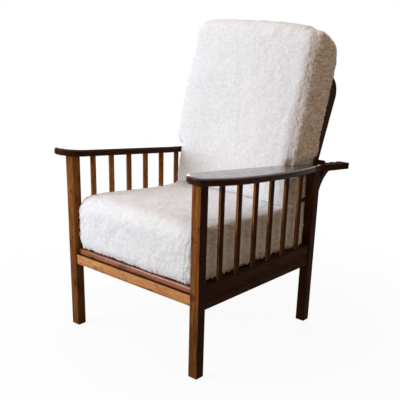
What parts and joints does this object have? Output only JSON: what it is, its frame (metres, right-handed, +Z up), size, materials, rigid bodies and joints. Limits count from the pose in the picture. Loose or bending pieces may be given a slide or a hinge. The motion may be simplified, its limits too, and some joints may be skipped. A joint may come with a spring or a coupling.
{
  "type": "reclining armchair",
  "caption": "Mission style armchair with slatted sides, bowed paddle arms, thick pile cushions and a hinged back held by a rod in notched arm ends.",
  "frame": {"origin": "on the floor under the middle of the chair, halfway between the front of the arms and the ends of the racks", "axes": "+X to the right as seen from the front, +Y from front to rear, +Z up"},
  "size_m": [0.716, 0.8721, 1.0495],
  "materials": {
    "stained_wood": "satin",
    "wool_pile": "matte",
    "hinge_steel": "satin"
  },
  "bodies": {
    "frame": {"arm_bracket_left": "stained_wood", "arm_bracket_right": "stained_wood", "arm_left": "stained_wood", "arm_right": "stained_wood", "front_leg_left": "stained_wood", "front_leg_right": "stained_wood", "front_rail": "stained_wood", "hinge_fixed_left": "hinge_steel", "hinge_fixed_right": "hinge_steel", "hinge_pin_left": "hinge_steel", "hinge_pin_right": "hinge_steel", "rear_leg_left": "stained_wood", "rear_leg_right": "stained_wood", "rear_rail": "stained_wood", "seat_board_1": "stained_wood", "seat_board_2": "stained_wood", "seat_board_3": "stained_wood", "seat_board_4": "stained_wood", "seat_board_5": "stained_wood", "seat_cushion": "wool_pile", "seat_frame_front": "stained_wood", "seat_frame_rear": "stained_wood", "seat_frame_side_left": "stained_wood", "seat_frame_side_right": "stained_wood", "seat_ledger_left": "stained_wood", "seat_ledger_right": "stained_wood", "side_rail_left": "stained_wood", "side_rail_right": "stained_wood", "slat_1_left": "stained_wood", "slat_1_right": "stained_wood", "slat_2_left": "stained_wood", "slat_2_right": "stained_wood", "slat_3_left": "stained_wood", "slat_3_right": "stained_wood", "slat_4_left": "stained_wood", "slat_4_right": "stained_wood", "slat_5_left": "stained_wood", "slat_5_right": "stained_wood", "slat_6_left": "stained_wood", "slat_6_right": "stained_wood", "slat_rail_left": "stained_wood", "slat_rail_right": "stained_wood"},
    "back": {"back_cushion": "wool_pile", "back_foot_rail": "stained_wood", "back_head_rail": "stained_wood", "back_slat_1": "stained_wood", "back_slat_2": "stained_wood", "back_slat_3": "stained_wood", "back_slat_4": "stained_wood", "back_slat_5": "stained_wood", "back_stile_left": "stained_wood", "back_stile_right": "stained_wood", "hinge_moving_left": "hinge_steel", "hinge_moving_right": "hinge_steel"},
    "rod": {"support_rod": "stained_wood"}
  },
  "joints": [
    {"name": "back_recline", "type": "hinge", "parent": "frame", "child": "back", "pos_m": [0, 0.1935, 0.306], "axis": [-1, 0, 0], "range_deg": [0, 16]},
    {"name": "rod_shift", "type": "hinge", "parent": "frame", "child": "rod", "pos_m": [0, 0.34216, 0.48764], "axis": [-1, 0, 0], "range_deg": [0, 60]}
  ],
  "couplings": [
    {"joint": "rod_shift", "follows": "back_recline", "ratio": 3.75}
  ]
}
